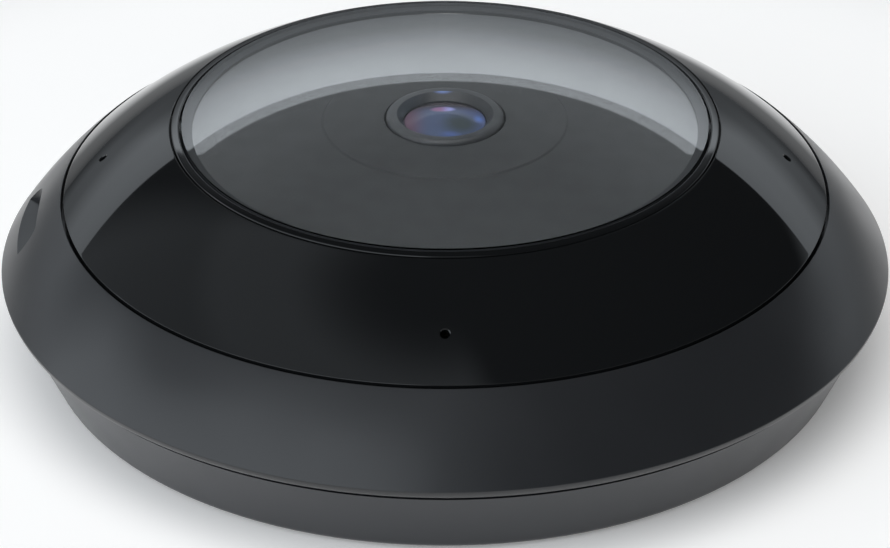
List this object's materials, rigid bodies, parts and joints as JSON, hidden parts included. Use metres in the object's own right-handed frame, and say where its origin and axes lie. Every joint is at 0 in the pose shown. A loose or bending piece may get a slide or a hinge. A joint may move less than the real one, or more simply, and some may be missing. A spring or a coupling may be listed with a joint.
{
  "type": "ceiling fisheye camera",
  "caption": "Round low ceiling camera: a fixed fisheye lens under a shallow clear window, in a tapered housing that twists onto a ceiling bracket.",
  "frame": {"origin": "centre of the bracket's back face, which lies on the ceiling or, as pictured, on the table", "axes": "+Z along the lens axis, out of the window; -X towards the thumb notch; +X towards the network socket"},
  "size_m": [0.158, 0.158, 0.0465],
  "materials": {
    "housing_plastic": "satin moulded polycarbonate, dark grey",
    "faceplate_plastic": "glossy black, clear to infrared light",
    "trim_plastic": "satin black trim",
    "mask_plastic": "fine matt, dark grey",
    "window_plastic": "clear polished acrylic",
    "lens_glass": "polished, coated purple and blue",
    "lens_metal": "dark anodised, satin",
    "black_plastic": "matt black",
    "soft_rubber": "matt black",
    "bracket_steel": "zinc plated sheet",
    "steel": "plain",
    "cast_alloy": "die cast",
    "board": "green solder mask",
    "chip": "moulded epoxy",
    "gold_contacts": "gold plated",
    "copper": "enamelled wire",
    "connector_plastic": "cream nylon",
    "ribbon_film": "amber film",
    "thermal_silicone": "soft, matt",
    "filter_glass": "coated"
  },
  "bodies": {
    "bracket": {"mount_bracket": "bracket_steel"},
    "camera_body": {"base_shell": "housing_plastic", "plug_cover": "black_plastic", "housing_seal": "soft_rubber", "outer_housing": "housing_plastic", "faceplate": "faceplate_plastic", "window_bezel": "trim_plastic", "window_dome": "window_plastic", "window_gasket": "soft_rubber", "mask_plate": "mask_plastic", "lens_ring": "lens_metal", "lens_barrel": "black_plastic", "front_lens": "lens_glass", "second_lens": "lens_glass", "aperture_stop": "black_plastic", "third_lens": "lens_glass", "rear_lens": "lens_glass", "lens_holder": "black_plastic", "ir_cut_frame": "black_plastic", "actuator_base": "black_plastic", "actuator_yoke": "steel", "actuator_coil": "copper", "sensor_board": "board", "image_sensor": "chip", "sensor_glass": "filter_glass", "sensor_screws": "steel", "sensor_connector": "connector_plastic", "board_connector": "connector_plastic", "sensor_flex": "ribbon_film", "chassis": "cast_alloy", "chassis_screws": "steel", "main_board": "board", "network_jack": "steel", "jack_contacts": "gold_contacts", "power_transformer": "chip", "power_inductors": "chip", "capacitors": "cast_alloy", "processor": "chip", "memory_chips": "chip", "thermal_pad": "thermal_silicone", "base_screws": "steel", "reset_switch": "chip", "led_board": "board", "ir_leds": "connector_plastic", "microphones": "gold_contacts", "mic_boots": "soft_rubber"},
    "button": {"reset_button": "black_plastic"},
    "switch_arm": {"actuator_arm": "connector_plastic", "actuator_magnet": "steel"},
    "filter_slide": {"ir_cut_slider": "black_plastic", "ir_cut_filter": "filter_glass", "clear_filter": "window_plastic"}
  },
  "joints": [
    {"name": "mount_twist", "type": "hinge", "parent": "bracket", "child": "camera_body", "pos_m": [0, 0, 0], "axis": [0, 0, 1], "range_deg": [0, 22]},
    {"name": "reset_press", "type": "slide", "parent": "camera_body", "child": "button", "axis": [0, 0, 1], "range_m": [0, 0.0005], "stiffness_N_per_m": 2000},
    {"name": "filter_swing", "type": "hinge", "parent": "camera_body", "child": "switch_arm", "pos_m": [0, 0.017, 0.0235], "axis": [0, 0, -1], "range_deg": [0, 40]},
    {"name": "filter_shift", "type": "slide", "parent": "camera_body", "child": "filter_slide", "axis": [-1, 0, 0], "range_m": [0, 0.0056]}
  ],
  "couplings": [
    {"joint": "filter_shift", "follows": "filter_swing", "m_per_rad": 0.0080214}
  ]
}
